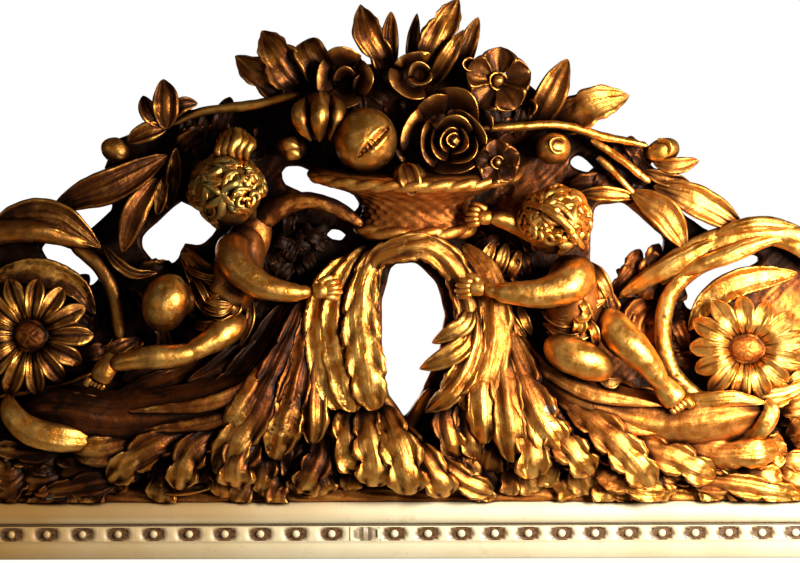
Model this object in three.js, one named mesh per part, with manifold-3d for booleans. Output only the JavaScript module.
// A wall mirror: a painted, mitred frame with a channel for pearls, its glass and back board, and a batten to
// hang it by. On the frame stands a pierced and gilded crest carved as one piece, with two putti, a basket of
// flowers and acanthus scrolls.
// Millimetres. +Z is up, the mirror faces -Y, and the wall is the plane y = 0.
import * as THREE from "three";
import { mergeVertices } from "three/addons/utils/BufferGeometryUtils.js";
import Module from "manifold-3d";

const wasm = await Module();
wasm.setup();

// Driving sizes of the frame
const FRAME_WIDTH = 940;
const FRAME_HEIGHT = 1180;
const FRAME_DEPTH = 40;
const FRAME_TOP_Z = 19; // top of the frame above the middle of the hanging batten
const BATTEN_DEPTH = 18; // holds the frame this far off the wall
const BATTEN_HEIGHT = 34;
const BATTEN_LENGTH = 560;
const GAP = 0.3; // left between pieces that touch

// The rail's section, from its outer edge inwards
const ROUND_WIDTH = 17.6; // the big half-round at the outer edge
const ROUND_FOOT = 32; // where the half-round starts, in front of the rail's back
const GROOVE_WIDTH = 1.8;
const GROOVE_FLOOR = 30;
const BAND_WIDTH = 12.6; // the flat that the channel runs in
const BAND_FRONT = 34;
const CHANNEL_WIDTH = 11;
const CHANNEL_FLOOR = 32;
const FACE_WIDTH = 46.4; // the whole rail as seen from the front
const LIP_FRONT = 26;
const LIP_BACK = 22;
const REBATE_WIDTH = 8.4; // how far the lip covers the glass
const ROUND_STEPS = 4;

// The glass and what backs it
const GLASS_THICKNESS = 4;
const BOARD_THICKNESS = 6;
const REBATE_PLAY = 1.5;

// The crest stands on the frame. Its places are [x, height above the frame, depth in front of its flat back].
const CREST_BACK_Y = -20;
const CREST_FOOT_Z = FRAME_TOP_Z + GAP;
const FOOT_HALF_LENGTH = 450;
const FOOT_HEIGHT = 11;
const FOOT_DEPTH = 32;
const GROUND_THICKNESS = 14;
const MOST_DEPTH = 140;
const MOST_HEIGHT = 420;
const KEEL_DEPTH = 6; // the back of each leaf and stem runs down into the ground this far off its back face

const TOWARDS_VIEWER = new THREE.Vector3(0, -1, 0);

// Colours of the finishes
const GILT = { color: 0xb98a35, roughness: 0.35, metalness: 0.9 };
const CREAM = { color: 0xe9dcb8, roughness: 0.45, metalness: 0 };
const SILVERED = { color: 0xd9dde0, roughness: 0.04, metalness: 1 };
const PLY = { color: 0x9a7650, roughness: 0.8, metalness: 0 };
const PINE = { color: 0xb58a58, roughness: 0.75, metalness: 0 };

// A closed three.js geometry as a solid with its faces pointing out.
function solidOf(geometry) {
  geometry.deleteAttribute("normal");
  geometry.deleteAttribute("uv");
  const merged = mergeVertices(geometry, 1e-4);
  const corners = merged.index.array;
  const faces = [];
  for (let i = 0; i < corners.length; i += 3) {
    const [a, b, c] = [corners[i], corners[i + 1], corners[i + 2]];
    if (a !== b && b !== c && c !== a) faces.push(a, b, c);
  }
  const make = (triangles) =>
    new wasm.Manifold(
      new wasm.Mesh({
        numProp: 3,
        vertProperties: merged.attributes.position.array,
        triVerts: new Uint32Array(triangles),
      }),
    );
  const solid = make(faces);
  return solid.volume() > 0 ? solid : make(faces.reverse());
}

// A solid as a named mesh.
function pieceOf(name, solid, finish) {
  const mesh = solid.getMesh();
  const geometry = new THREE.BufferGeometry();
  geometry.setAttribute("position", new THREE.BufferAttribute(mesh.vertProperties, 3));
  geometry.setIndex(new THREE.BufferAttribute(mesh.triVerts, 1));
  geometry.computeVertexNormals();
  const piece = new THREE.Mesh(geometry, new THREE.MeshStandardMaterial(finish));
  piece.name = name;
  return piece;
}

function joined(solids) {
  return wasm.Manifold.union(solids);
}

function boxBetween([x0, y0, z0], [x1, y1, z1]) {
  const box = new THREE.BoxGeometry(x1 - x0, y1 - y0, z1 - z0);
  return solidOf(box.translate((x0 + x1) / 2, (y0 + y1) / 2, (z0 + z1) / 2));
}

// A point of the crest in the mirror's own frame.
function place([x, height, depth]) {
  return new THREE.Vector3(x, CREST_BACK_Y - depth, CREST_FOOT_Z + height);
}

// Where a spine is at a share of its length, with the directions along it, across it and out to the viewer.
function spineThrough(points) {
  const curve = new THREE.CatmullRomCurve3(points.map(place), false, "catmullrom", 0.5);
  return (share) => {
    const centre = curve.getPointAt(share);
    const along = curve.getTangentAt(share);
    const across = along.clone().cross(TOWARDS_VIEWER).normalize();
    return { centre, along, across, out: across.clone().cross(along) };
  };
}

// A ball drawn out into another closed shape: spotAt(share of the length, step round it) gives each vertex.
function drawnOut(rows, around, spotAt) {
  const ball = new THREE.SphereGeometry(1, around, rows);
  for (let row = 0; row <= rows; row++) {
    for (let step = 0; step <= around; step++) {
      const spot = spotAt(row / rows, step % around);
      ball.attributes.position.setXYZ(row * (around + 1) + step, spot.x, spot.y, spot.z);
    }
  }
  return solidOf(ball);
}

// A leaf's section: [share of the half-width, share of the half-thickness], with a vein sunk in its front.
const VEINED = [[1, 0], [0.5, 1], [0, 0.3], [-0.5, 1], [-1, 0], [0, -1]];
const PLAIN = [[1, 0], [0, 1], [-1, 0], [0, -1]];
const VEINED_FROM = 26; // narrower leaves are ridged, and have no vein

// The back of a shape drawn down to the ground by a share of the way, as if carved out of the same block.
function keeled(spot, share) {
  spot.y += (CREST_BACK_Y - KEEL_DEPTH - spot.y) * share;
  return spot;
}

// A leaf along a spine. fold raises its edges (or lowers them, below 0); lobes notch its outline.
function leaf({ spine, wide, thick = 7, fold = 0.25, lobes = 0, widest = 0.5, rows = 4, free = false }) {
  const section = wide < VEINED_FROM ? PLAIN : VEINED;
  const bands = wide < VEINED_FROM ? rows - 1 : rows;
  const at = spineThrough(spine);
  const skew = Math.log(0.5) / Math.log(widest);
  const notch = lobes ? 0.42 : 0;
  return drawnOut(lobes ? 2 * lobes : bands, section.length, (share, step) => {
    const { centre, across, out } = at(share);
    const [sideways, forwards] = section[step];
    const swell = Math.max(0, Math.sin(Math.PI * share ** skew)) ** 0.7;
    const bite = 1 - notch * (1 - Math.abs(Math.sin(Math.PI * lobes * share)));
    const half = (wide / 2) * swell * (Math.abs(sideways) === 1 ? bite : 1);
    const spot = centre
      .addScaledVector(across, half * sideways)
      .addScaledVector(out, (thick / 2) * forwards * swell + fold * half * Math.abs(sideways));
    return forwards < 0 && !free ? keeled(spot, swell) : spot;
  });
}

// A round stem or limb along a spine, with a radius at each of its even steps.
function limb({ spine, radii, rows = 5, around = 5, free = false }) {
  const at = spineThrough(spine);
  return drawnOut(rows, around, (share, step) => {
    const { centre, across, out } = at(share);
    const angle = (2 * Math.PI * step) / around;
    const [first, last] = [Math.floor(share * (radii.length - 1)), Math.ceil(share * (radii.length - 1))];
    const between = share * (radii.length - 1) - first;
    const cap = Math.sqrt(Math.max(0, 1 - Math.abs(2 * share - 1) ** 6));
    const radius = (radii[first] * (1 - between) + radii[last] * between) * cap;
    const spot = centre
      .addScaledVector(across, radius * Math.cos(angle))
      .addScaledVector(out, radius * Math.sin(angle));
    return Math.sin(angle) < -0.8 && !free ? keeled(spot, cap) : spot;
  });
}

// An egg-shaped lump: half-sizes across, up and in depth, turned in the plane of the crest.
function lump({ where, half, turn = 0, around = 6, rows = 4, free = false }) {
  const centre = place(where);
  const [halfX, halfZ, halfDepth] = half;
  return drawnOut(rows, around, (share, step) => {
    const angle = (2 * Math.PI * step) / around;
    const [x, z] = [halfX * Math.cos(angle), halfZ * Math.sin(angle)];
    const out = Math.sin(Math.PI * share);
    const spot = new THREE.Vector3(
      (x * Math.cos(turn) - z * Math.sin(turn)) * out,
      -halfDepth * Math.cos(Math.PI * share),
      (x * Math.sin(turn) + z * Math.cos(turn)) * out,
    ).add(centre);
    return share === 1 && !free ? keeled(spot, 1) : spot;
  });
}

// A flower seen from the front, of rings round its centre. Its petals swell and part towards its edge.
function flower({ centre, radius, petals, rings, start = 0, squash = 1, part = 0.4, steps = 4 }) {
  const [x, height, depth] = centre;
  const around = petals * steps;
  return drawnOut(rings.length + 1, around, (share, step) => {
    const row = Math.round(share * (rings.length + 1));
    if (row === 0) return place([x, height, depth + rings[0][1]]);
    if (row > rings.length) return place([x, height, KEEL_DEPTH]);
    const [out, lift, parting] = rings[row - 1];
    const ridge = (1 + Math.cos((2 * Math.PI * step) / steps)) / 2;
    const angle = start + (2 * Math.PI * step) / around;
    const reach = radius * out * (1 - part * parting * (1 - ridge) ** 3);
    return place([
      x + reach * Math.cos(angle),
      height + reach * Math.sin(angle) * squash,
      depth + lift - 3 * parting * (1 - ridge),
    ]);
  });
}

// A broad leaf of several flutes, each a spine from base to tip, with valleys between them that stop short.
function fan({ flutes, wide = 14, sink = 6, notch = 0.84, rows = 3 }) {
  const curves = flutes.map(spineThrough);
  const columns = 2 * flutes.length + 1;
  const middle = curves[Math.floor(curves.length / 2)];
  const spotOn = (column, share) => {
    if (column % 2) return curves[(column - 1) / 2](share).centre;
    const [before, after] = [curves[column / 2 - 1], curves[column / 2]];
    const short = share * notch;
    if (before && after) {
      const valley = before(short).centre.lerp(after(short).centre, 0.5);
      valley.y += sink;
      return valley;
    }
    const { centre, across } = (before ?? after)(short);
    centre.addScaledVector(across, ((before ? 1 : -1) * wide) / 2);
    centre.y += sink;
    return centre;
  };
  return drawnOut(rows + 2, columns + 1, (share, step) => {
    const row = Math.round(share * (rows + 2));
    const along = Math.min(1, Math.max(0, (row - 1) / rows));
    const isEnd = row === 0 || row === rows + 2;
    return isEnd || step === columns ? keeled(middle(along * notch).centre, 1) : spotOn(step, along);
  });
}

// The rail's section as [from the outer edge, in front of the back].
function railSection() {
  const section = [[0, 0], [0, ROUND_FOOT]];
  for (let i = 1; i < ROUND_STEPS; i++) {
    const angle = Math.PI * (1 - i / ROUND_STEPS);
    section.push([
      (ROUND_WIDTH / 2) * (1 + Math.cos(angle)),
      ROUND_FOOT + (FRAME_DEPTH - ROUND_FOOT) * Math.sin(angle),
    ]);
  }
  const bandStart = ROUND_WIDTH + GROOVE_WIDTH;
  const channelStart = bandStart + (BAND_WIDTH - CHANNEL_WIDTH) / 2;
  section.push([ROUND_WIDTH, GROOVE_FLOOR], [bandStart, GROOVE_FLOOR], [bandStart, BAND_FRONT]);
  section.push([channelStart, BAND_FRONT], [channelStart + 0.8, CHANNEL_FLOOR]);
  section.push([channelStart + CHANNEL_WIDTH - 0.8, CHANNEL_FLOOR], [channelStart + CHANNEL_WIDTH, BAND_FRONT]);
  section.push([bandStart + BAND_WIDTH, BAND_FRONT], [FACE_WIDTH - 7, LIP_FRONT + 5], [FACE_WIDTH, LIP_FRONT]);
  section.push([FACE_WIDTH, LIP_BACK], [FACE_WIDTH - REBATE_WIDTH, LIP_BACK], [FACE_WIDTH - REBATE_WIDTH, 0]);
  return section;
}

// One mitred rail, lying along X with its outer edge at z = 0 and its back at y = 0.
function rail(length) {
  const outline = new THREE.Shape(railSection().map(([inwards, front]) => new THREE.Vector2(inwards, front)));
  const stick = new THREE.ExtrudeGeometry(outline, { depth: 1, steps: 1, bevelEnabled: false });
  const position = stick.attributes.position;
  for (let i = 0; i < position.count; i++) {
    const [inwards, front, end] = [position.getX(i), position.getY(i), position.getZ(i)];
    const half = length / 2 - inwards - GAP / 2;
    position.setXYZ(i, (end < 0.5 ? -1 : 1) * half, -front, -inwards);
  }
  return solidOf(stick);
}

// The four rails, set round the opening.
function frameRails() {
  const backY = -BATTEN_DEPTH;
  const middleZ = FRAME_TOP_Z - FRAME_HEIGHT / 2;
  const turned = (name, quarters, x, z, length) => {
    const piece = pieceOf(name, rail(length), CREAM);
    piece.geometry.rotateY((quarters * Math.PI) / 2).translate(x, backY, z);
    return piece;
  };
  return [
    turned("top_rail", 0, 0, FRAME_TOP_Z, FRAME_WIDTH),
    turned("right_stile", 1, FRAME_WIDTH / 2, middleZ, FRAME_HEIGHT),
    turned("bottom_rail", 2, 0, FRAME_TOP_Z - FRAME_HEIGHT, FRAME_WIDTH),
    turned("left_stile", 3, -FRAME_WIDTH / 2, middleZ, FRAME_HEIGHT),
  ];
}

// A sheet that lies in the rebate, its front face at a depth in front of the frame's back.
function sheetInRebate(name, front, thickness, finish) {
  const inset = FACE_WIDTH - REBATE_WIDTH + REBATE_PLAY;
  const [halfX, lowZ] = [FRAME_WIDTH / 2 - inset, FRAME_TOP_Z - FRAME_HEIGHT + inset];
  const y = -BATTEN_DEPTH - front;
  return pieceOf(name, boxBetween([-halfX, y, lowZ], [halfX, y + thickness, FRAME_TOP_Z - inset]), finish);
}

// The hanging batten: its lower edge is cut back at 45 degrees, to hook over a like batten on the wall.
function hangingBatten() {
  const half = BATTEN_HEIGHT / 2;
  const outline = new THREE.Shape([
    new THREE.Vector2(0, -half),
    new THREE.Vector2(0, half),
    new THREE.Vector2(-BATTEN_DEPTH + GAP, half),
    new THREE.Vector2(-BATTEN_DEPTH + GAP, -half + BATTEN_DEPTH - GAP),
  ]);
  const stick = new THREE.ExtrudeGeometry(outline, { depth: BATTEN_LENGTH, steps: 1, bevelEnabled: false });
  stick.translate(0, 0, -BATTEN_LENGTH / 2).applyMatrix4(
    new THREE.Matrix4().set(0, 0, 1, 0, 1, 0, 0, 0, 0, 1, 0, 0, 0, 0, 0, 1),
  );
  return pieceOf("hanging_batten", solidOf(stick), PINE);
}

function spacerBatten() {
  const half = BATTEN_LENGTH / 2;
  const lowZ = FRAME_TOP_Z - FRAME_HEIGHT + 4;
  const solid = boxBetween([-half, -BATTEN_DEPTH + GAP, lowZ], [half, 0, lowZ + BATTEN_HEIGHT - 4]);
  return pieceOf("spacer_batten", solid, PINE);
}

// The fretted board that the carving grows from, and the openings cut through it.
const GROUND_OUTLINE = [
  [-440, 4], [-390, 34], [-345, 62], [-372, 110], [-378, 160], [-352, 198], [-306, 216], [-262, 212], [-235, 236],
  [-242, 270], [-232, 292], [-212, 300], [-188, 316], [-130, 316], [-100, 330], [-74, 346], [-40, 352], [24, 354],
  [56, 350], [96, 332], [112, 306], [140, 300], [190, 284], [206, 262], [224, 232], [250, 214], [300, 212],
  [342, 180], [354, 130], [338, 84], [316, 60], [372, 40], [440, 4],
];
const OPENINGS = [
  [
    [-10, 190], [10, 192], [26, 176], [33, 150], [28, 118],
    [12, 84], [0, 66], [-12, 82], [-18, 112], [-18, 160],
  ],
  [
    [-212, 214], [-181, 242], [-164, 234], [-150, 220], [-164, 206],
    [-178, 208], [-184, 192], [-202, 192], [-212, 204],
  ],
  [[-99, 270], [-84, 270], [-44, 252], [-36, 240], [-38, 230], [-54, 240], [-76, 246], [-98, 256]],
  [[-68, 222], [-46, 216], [-48, 208], [-62, 212]],
  [[-296, 208], [-290, 210], [-266, 202], [-246, 182], [-253, 172], [-266, 180], [-288, 194]],
  [[76, 248], [88, 256], [86, 244]],
  [[61, 221], [73, 215], [63, 212]],
  [[132, 270], [140, 280], [156, 268], [153, 263]],
  [[154, 238], [178, 240], [210, 212], [209, 198], [170, 172], [150, 192]],
  [
    [220, 132], [228, 156], [222, 168], [232, 178], [262, 196],
    [300, 198], [272, 184], [250, 168], [232, 152],
  ],
  [[270, 48], [282, 56], [292, 52], [278, 44]],
];

function board(outline, back, front) {
  const shape = new THREE.Shape(outline.map(([x, z]) => new THREE.Vector2(x, z)));
  const slab = new THREE.ExtrudeGeometry(shape, { depth: front - back, steps: 1, bevelEnabled: false });
  return solidOf(slab.rotateX(Math.PI / 2).translate(0, CREST_BACK_Y - back, CREST_FOOT_Z));
}

function ground() {
  const cuts = OPENINGS.map((opening) => board(opening, -1, GROUND_THICKNESS + 1));
  return board(GROUND_OUTLINE, 0, GROUND_THICKNESS).subtract(joined(cuts));
}

// Each fan below gives its flutes, each a spine from base to tip.
const FANS = [
  { // the arch's left leaf
    flutes: [
      [[-34, 208, 34], [-54, 186, 42], [-66, 150, 48], [-65, 114, 52], [-54, 76, 54]],
      [[-24, 207, 40], [-44, 188, 46], [-54, 150, 52], [-53, 114, 56], [-46, 90, 58]],
      [[-16, 204, 44], [-36, 184, 50], [-43, 150, 56], [-40, 114, 60], [-31, 78, 62]],
      [[-8, 201, 44], [-26, 186, 48], [-31, 154, 52], [-27, 120, 56], [-24, 96, 56]],
    ],
    rows: 4,
  },
  { // the arch's right leaf
    flutes: [
      [[19, 200, 44], [34, 180, 48], [40, 150, 52], [36, 126, 54], [26, 110, 54]],
      [[27, 203, 44], [43, 182, 50], [49, 148, 56], [46, 116, 60], [34, 84, 60]],
      [[37, 204, 38], [53, 180, 46], [60, 146, 54], [56, 112, 58], [50, 84, 56]],
    ],
    rows: 4,
  },
  { // the leaf at the foot of the keyhole
    flutes: [
      [[-50, 78, 36], [-50, 68, 46], [-46, 58, 50], [-41, 49, 46]],
      [[-42, 80, 38], [-36, 60, 52], [-30, 40, 56], [-26, 19, 50]],
      [[-32, 80, 40], [-18, 56, 56], [-4, 32, 60], [6, 9, 52]],
      [[-22, 72, 40], [-4, 48, 54], [16, 26, 56], [38, 8, 48]],
      [[-12, 64, 36], [12, 44, 46], [36, 26, 50], [66, 11, 44]],
    ],
    notch: 0.72,
  },
  { // the right acanthus
    flutes: [
      [[62, 166, 36], [59, 122, 48], [58, 82, 54], [62, 49, 54]],
      [[66, 168, 38], [71, 114, 50], [77, 70, 56], [85, 31, 52]],
      [[70, 168, 38], [81, 112, 50], [93, 60, 58], [103, 16, 54]],
      [[74, 168, 36], [91, 112, 46], [107, 66, 54], [125, 22, 52]],
      [[78, 166, 34], [101, 116, 42], [118, 78, 50], [131, 49, 54]],
    ],
    notch: 0.8,
  },
  { // the left acanthus
    flutes: [
      [[-64, 166, 34], [-72, 122, 46], [-78, 86, 54], [-76, 44, 54]],
      [[-70, 168, 36], [-84, 118, 48], [-98, 76, 56], [-108, 34, 52]],
      [[-76, 168, 36], [-95, 114, 46], [-114, 66, 56], [-128, 16, 50]],
      [[-82, 164, 34], [-103, 106, 44], [-128, 62, 54], [-158, 18, 50]],
    ],
    notch: 0.78,
  },
  { // the lobes under the right scroll
    flutes: [
      [[118, 64, 34], [148, 48, 42], [186, 17, 42]],
      [[124, 78, 36], [160, 56, 46], [219, 20, 46]],
      [[150, 74, 34], [204, 48, 42], [262, 36, 46], [308, 26, 42]],
      [[176, 74, 30], [230, 60, 36], [272, 50, 42], [286, 38, 42]],
    ],
    notch: 0.82, sink: 7,
  },
  { // the lobes under the left scroll
    flutes: [
      [[-136, 90, 34], [-158, 66, 46], [-172, 40, 48], [-200, 14, 42]],
      [[-146, 94, 36], [-180, 64, 48], [-206, 42, 50], [-232, 22, 46]],
      [[-158, 88, 34], [-200, 66, 44], [-238, 46, 46], [-290, 12, 40]],
      [[-180, 82, 30], [-226, 66, 38], [-256, 54, 44], [-268, 36, 44]],
    ],
    notch: 0.8, sink: 7,
  },
];

// Each leaf below gives its spine from base to tip, and its width.
const ACANTHUS_LEAVES = [
  { spine: [[45, 122, 46], [32, 112, 54], [12, 107, 56]], wide: 12 },
  { spine: [[45, 114, 50], [29, 94, 58], [9, 72, 58]], wide: 20 },
  { spine: [[-43, 36, 30], [-61, 30, 42], [-84, 12, 40]], wide: 19 },
  {
    spine: [[78, 164, 28], [99, 118, 32], [133, 82, 34], [189, 60, 36], [241, 58, 40], [286, 80, 46]],
    wide: 40, thick: 16, widest: 0.6, rows: 6,
  },
  {
    spine: [
      [-78, 164, 26], [-101, 120, 30], [-143, 88, 32],
      [-211, 68, 34], [-275, 64, 40], [-314, 86, 46],
    ],
    wide: 42, thick: 16, widest: 0.6, rows: 6,
  },
  { spine: [[160, 46, 26], [221, 22, 38], [261, 15, 40], [318, 13, 36]], wide: 20 },
  { spine: [[262, 82, 30], [296, 84, 44], [330, 100, 42]], wide: 20 },
  { spine: [[-270, 20, 28], [-311, 16, 38], [-357, 12, 34]], wide: 17 },
  { spine: [[-250, 52, 28], [-303, 46, 38], [-350, 48, 34]], wide: 17 },
];
const SCROLL_LEAVES = [
  { spine: [[-340, 206, 40], [-307, 228, 44], [-275, 228, 44], [-242, 204, 40]], wide: 26, rows: 6 },
  { spine: [[-241, 206, 36], [-229, 192, 40], [-215, 183, 42], [-197, 184, 38]], wide: 10 },
  { spine: [[-248, 150, 30], [-262, 172, 34], [-295, 185, 36], [-334, 180, 36]], wide: 24, rows: 6 },
  { spine: [[228, 136, 30], [244, 160, 34], [273, 176, 36], [316, 182, 34]], wide: 24, rows: 6 },
  { spine: [[320, 46, 36], [362, 46, 42], [404, 30, 42], [446, 9, 34]], wide: 26, lobes: 3 },
  { spine: [[302, 60, 24], [356, 74, 40], [396, 60, 38]], wide: 20 },
  { spine: [[-330, 46, 36], [-372, 44, 42], [-412, 30, 42], [-447, 9, 34]], wide: 26, lobes: 3 },
  { spine: [[-330, 66, 24], [-372, 74, 40], [-402, 60, 38]], wide: 18 },
];
const GARLAND_LEAVES = [
  { spine: [[-189, 298, 44], [-189, 318, 50], [-191, 338, 46]], wide: 22 },
  { spine: [[-193, 300, 44], [-203, 312, 48], [-208, 325, 44]], wide: 15 },
  { spine: [[-187, 306, 44], [-177, 317, 48], [-164, 319, 44]], wide: 13 },
  { spine: [[-188, 300, 42], [-205, 296, 46], [-221, 288, 42]], wide: 16 },
  { spine: [[-188, 278, 36], [-227, 256, 44], [-255, 246, 44], [-282, 235, 38]], wide: 28 },
  { spine: [[-197, 260, 40], [-213, 234, 48], [-225, 200, 42]], wide: 21 },
  { spine: [[-182, 284, 36], [-184, 258, 40], [-189, 234, 36]], wide: 14 },
  { spine: [[199, 270, 42], [217, 268, 46], [236, 272, 42]], wide: 14 },
  { spine: [[190, 264, 40], [211, 257, 42], [229, 255, 38]], wide: 13 },
  { spine: [[199, 252, 42], [229, 242, 48], [273, 217, 42]], wide: 26 },
  { spine: [[181, 248, 42], [207, 230, 50], [225, 202, 44]], wide: 25 },
];
const BOUQUET_LEAVES = [
  { spine: [[-6, 326, 30], [-16, 352, 46], [-28, 374, 52], [-34, 397, 46]], wide: 24, widest: 0.62 },
  { spine: [[-10, 330, 30], [-11, 362, 46], [-10, 392, 44]], wide: 15, widest: 0.6 },
  { spine: [[10, 326, 34], [26, 366, 54], [44, 402, 48]], wide: 28, widest: 0.55 },
  { spine: [[20, 330, 38], [35, 354, 58], [48, 376, 52]], wide: 15 },
  { spine: [[38, 330, 34], [50, 362, 48], [60, 387, 44]], wide: 17 },
  { spine: [[-70, 316, 30], [-96, 350, 50], [-113, 377, 44]], wide: 36 },
  { spine: [[-76, 318, 28], [-109, 338, 44], [-135, 357, 38]], wide: 27 },
  { spine: [[-58, 322, 30], [-62, 354, 52], [-61, 375, 46]], wide: 24, widest: 0.62 },
  { spine: [[102, 294, 28], [117, 324, 50], [131, 354, 44]], wide: 25 },
  { spine: [[114, 296, 28], [150, 316, 52], [180, 324, 46]], wide: 31 },
  { spine: [[0, 270, 76], [5, 256, 84], [7, 243, 80]], wide: 19, free: true },
];

// Each stem below gives its spine and its radii.
const STEMS = [
  {
    spine: [[-14, 160, 44], [-14, 182, 46], [-1, 197, 48], [17, 193, 48], [30, 174, 46], [36, 148, 44]],
    radii: [6, 6], rows: 7,
  },
  {
    spine: [[-24, 90, 26], [-11, 71, 28], [0, 57, 28], [12, 71, 28], [24, 90, 26]],
    radii: [8, 7, 8], rows: 6,
  },
  {
    spine: [
      [-248, 206, 38], [-298, 218, 44], [-338, 212, 44], [-367, 186, 40],
      [-376, 140, 36], [-360, 92, 34], [-322, 70, 34],
    ],
    radii: [7, 10, 10, 9, 9, 9, 7], rows: 6,
  },
  { spine: [[-267, 208, 34], [-243, 188, 36], [-231, 162, 36], [-228, 130, 32]], radii: [6, 6] },
  { spine: [[-249, 104, 42], [-275, 94, 44], [-323, 85, 44]], radii: [2.5, 2.5], rows: 4, around: 4 },
  { spine: [[168, 166, 32], [201, 189, 38], [237, 206, 42], [276, 216, 44]], radii: [8, 11, 11, 8] },
  {
    spine: [
      [262, 212, 42], [293, 213, 48], [321, 203, 48], [349, 174, 44],
      [357, 130, 40], [342, 88, 38], [308, 64, 36],
    ],
    radii: [8, 10, 10, 9, 9, 9, 7], rows: 6,
  },
  {
    spine: [
      [257, 194, 40], [229, 183, 42], [211, 162, 42], [207, 130, 40],
      [216, 102, 38], [241, 82, 38], [282, 78, 38],
    ],
    radii: [6, 7, 7, 7, 6, 5, 5], rows: 7,
  },
  {
    spine: [[-80, 326, 50], [-123, 317, 46], [-163, 312, 42], [-187, 302, 38]],
    radii: [4, 4, 3], rows: 4, around: 4,
  },
  {
    spine: [[59, 297, 58], [101, 300, 54], [129, 300, 50], [157, 292, 46], [196, 284, 42]],
    radii: [3.5, 3.5], rows: 4, around: 4,
  },
  { spine: [[149, 290, 44], [175, 272, 46], [197, 254, 44]], radii: [3.2, 3.2], rows: 4, around: 4 },
  { spine: [[155, 276, 40], [173, 258, 42], [188, 241, 40]], radii: [3, 3], rows: 4, around: 4 },
];

const LUMPS = [
  { where: [13, 312, 22], half: [104, 42, 32], around: 10, rows: 4 }, // the heap behind the flowers
  { where: [-30, 288, 68], half: [25, 26, 26], around: 7 }, // pomegranate
  { where: [-67, 308, 58], half: [16, 20, 18] },
  { where: [119, 282, 50], half: [14, 13, 14] },
  { where: [-89, 284, 44], half: [13, 10, 14] },
  { where: [207, 280, 40], half: [14, 10, 10], turn: 0.35 },
  { where: [-231, 282, 36], half: [12, 10, 10], turn: -0.5 },
];

// The two putti: their limbs, from the trunk outwards, and the lumps of head, trunk and hair.
const PUTTI = [
  {
    limbs: [
      {
        spine: [[-122, 226, 44], [-138, 186, 46], [-152, 150, 48]],
        radii: [17, 22, 22], rows: 4, around: 6,
      },
      {
        spine: [[-142, 214, 54], [-127, 188, 74], [-107, 174, 78], [-83, 168, 74], [-58, 172, 66]],
        radii: [15, 16, 11, 8, 6], free: true,
      },
      {
        spine: [[-130, 206, 44], [-104, 232, 50], [-84, 240, 52], [-61, 235, 52], [-34, 220, 50]],
        radii: [12, 11, 9, 8, 8], free: true,
      },
      {
        spine: [[-146, 152, 50], [-176, 162, 68], [-198, 156, 70], [-204, 138, 62], [-198, 122, 46]],
        radii: [14, 20, 19, 13, 8], around: 6, free: true,
      },
      {
        spine: [[-131, 152, 50], [-158, 137, 72], [-185, 127, 76], [-212, 119, 72], [-238, 109, 62]],
        radii: [15, 15, 12, 11, 7], free: true,
      },
      { spine: [[-228, 116, 62], [-246, 104, 64], [-241, 86, 58]], radii: [8, 9, 6], rows: 4, free: true },
    ],
    lumps: [
      { where: [-137, 246, 66], half: [30, 28, 26], turn: 0.3, around: 7, rows: 5 },
      { where: [-144, 254, 60], half: [32, 27, 26], turn: 0.5, around: 6, free: true },
      { where: [-134, 286, 54], half: [17, 12, 12], free: true },
      { where: [-127, 242, 86], half: [4, 5, 8], around: 5, free: true },
      { where: [-57, 172, 62], half: [9, 8, 8], around: 6, rows: 4, free: true },
    ],
    wing: { spine: [[-140, 192, 34], [-166, 206, 40], [-184, 206, 34]], wide: 15 },
  },
  {
    limbs: [
      { spine: [[142, 198, 42], [138, 156, 50], [143, 122, 48]], radii: [17, 23, 24], rows: 4, around: 6 },
      {
        spine: [[152, 190, 54], [132, 166, 76], [105, 160, 80], [77, 167, 76], [46, 171, 66]],
        radii: [16, 16, 13, 9, 6], free: true,
      },
      {
        spine: [[130, 198, 40], [101, 214, 50], [80, 230, 58], [54, 228, 60]],
        radii: [11, 9, 8, 9], rows: 5, free: true,
      },
      {
        spine: [[108, 130, 50], [135, 120, 76], [160, 108, 72], [146, 90, 46]],
        radii: [12, 17, 13, 9], rows: 4, around: 6, free: true,
      },
      {
        spine: [[160, 164, 46], [171, 134, 70], [187, 111, 70], [207, 88, 60]],
        radii: [14, 20, 14, 7], rows: 4, around: 6, free: true,
      },
      { spine: [[200, 96, 58], [213, 85, 62], [223, 72, 56]], radii: [8, 10, 6], rows: 4, free: true },
      { spine: [[108, 154, 50], [133, 146, 78], [166, 160, 62]], radii: [7, 10, 8], rows: 4, free: true },
    ],
    lumps: [
      { where: [124, 220, 68], half: [26, 27, 24], turn: -0.4, around: 7, rows: 5 },
      { where: [132, 229, 62], half: [26, 24, 25], turn: -0.3, around: 6, free: true },
      { where: [115, 216, 86], half: [4, 5, 8], around: 5, free: true },
    ],
    wing: { spine: [[140, 196, 30], [162, 182, 40], [172, 160, 34]], wide: 22 },
  },
];

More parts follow.
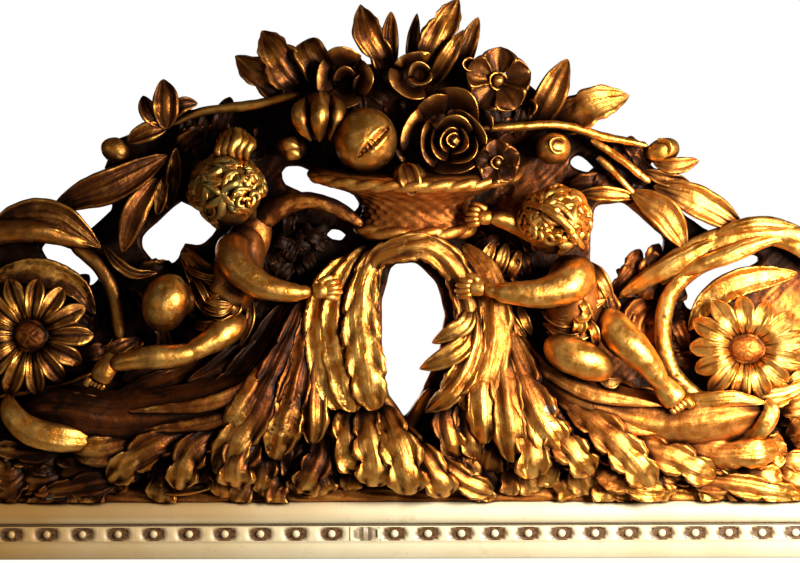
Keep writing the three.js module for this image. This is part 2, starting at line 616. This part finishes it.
// Rings of the flowers: [share of the radius, depth above the flower's centre, how far the petals part there].
const DAISY_RINGS = [[0.28, 5, 0], [0.6, 8, 0.5], [1, 1, 1]];
const BLOSSOM_RINGS = [[0.25, 0, 0], [0.78, 7, 0.6], [1, 0, 1]];
const TRUMPET_RINGS = [[0.3, -10, 0], [0.5, 8, 0], [1, 4, 1]];
const SUNKEN_RINGS = [[0.5, -6, 0], [0.8, 6, 0.3], [1, 2, 0.8], [0.8, -14, 0.5]];
const ROSE_RINGS = [
  [0.14, 12, 0], [0.3, 10, 0.3], [0.36, 3, 0.4], [0.56, 9, 0.4], [0.62, 0, 0.5], [0.96, 4, 0.6], [1, -6, 0.6],
];
const FLOWERS = [
  { centre: [-298, 134, 46], radius: 48, petals: 14, rings: DAISY_RINGS, part: 0.45 },
  { centre: [273, 122, 46], radius: 48, petals: 14, rings: DAISY_RINGS, part: 0.45, squash: 0.9, start: 0.2 },
  { centre: [77, 336, 54], radius: 24, petals: 5, rings: BLOSSOM_RINGS, start: Math.PI / 2, part: 0.32 },
  { centre: [75, 270, 62], radius: 18, petals: 5, rings: BLOSSOM_RINGS, start: 0.6, part: 0.32 },
  { centre: [14, 340, 54], radius: 22, petals: 5, rings: TRUMPET_RINGS, start: 0.9, steps: 3, part: 0.45 },
  { centre: [-47, 332, 48], radius: 26, petals: 6, rings: SUNKEN_RINGS, steps: 2, start: 0.4 },
  { centre: [39, 290, 68], radius: 35, petals: 5, rings: ROSE_RINGS, part: 0.2, steps: 2, start: 0.3 },
];

// The basket: a flared bowl tipped towards the viewer, with a rope round its rim and another round its foot.
const BASKET_CENTRE = [9, 218, 30];
const BASKET_SECTION = [
  [0, 0], [44, 0], [50, 5], [43, 11], [41, 20], [48, 30], [66, 38], [82, 42], [86, 49], [78, 53], [0, 53],
];
const BASKET_FLATNESS = 0.5; // depth for width
const BASKET_TIP = 0.3; // in radians
const BASKET_SIDES = 11;

function basket() {
  const section = BASKET_SECTION.map(([out, up]) => new THREE.Vector2(out, up));
  const bowl = new THREE.LatheGeometry(section, BASKET_SIDES).rotateX(Math.PI / 2);
  const centre = place(BASKET_CENTRE);
  bowl.scale(1, BASKET_FLATNESS, 1).rotateX(BASKET_TIP).translate(centre.x, centre.y, centre.z);
  const foot = { spine: [[-25, 206, 26], [9, 210, 40], [43, 206, 26]], radii: [10, 13, 10], rows: 4 };
  return [solidOf(bowl), limb(foot)];
}

// The whole crest as one solid, cut flat at the back and at the foot.
function crest() {
  const foot = boxBetween(
    place([-FOOT_HALF_LENGTH, 0, FOOT_DEPTH]).toArray(),
    place([FOOT_HALF_LENGTH, FOOT_HEIGHT, 0]).toArray(),
  );
  const leaves = [
    ...ACANTHUS_LEAVES,
    ...SCROLL_LEAVES,
    ...GARLAND_LEAVES,
    ...BOUQUET_LEAVES,
    ...PUTTI.map((putto) => putto.wing),
  ].map(leaf);
  const fans = FANS.map(fan);
  const rounds = [...STEMS, ...PUTTI.flatMap((putto) => putto.limbs)].map(limb);
  const lumps = [...LUMPS, ...PUTTI.flatMap((putto) => putto.lumps)].map(lump);
  const flowers = FLOWERS.map(flower);
  const carving = joined([foot, ground(), ...leaves, ...fans, ...rounds, ...lumps, ...flowers, ...basket()]);
  const kept = boxBetween(
    place([-FOOT_HALF_LENGTH, 0, MOST_DEPTH]).toArray(),
    place([FOOT_HALF_LENGTH, MOST_HEIGHT, 0]).toArray(),
  );
  const bodies = carving.intersect(kept).decompose();
  return bodies.reduce((largest, body) => (body.volume() > largest.volume() ? body : largest));
}

const mirror = new THREE.Group();
mirror.add(pieceOf("crest", crest(), GILT));
mirror.add(...frameRails());
mirror.add(sheetInRebate("mirror_glass", LIP_BACK - GAP, GLASS_THICKNESS, SILVERED));
mirror.add(sheetInRebate("back_board", LIP_BACK - 2 * GAP - GLASS_THICKNESS, BOARD_THICKNESS, PLY));
mirror.add(hangingBatten());
mirror.add(spacerBatten());

export default mirror;
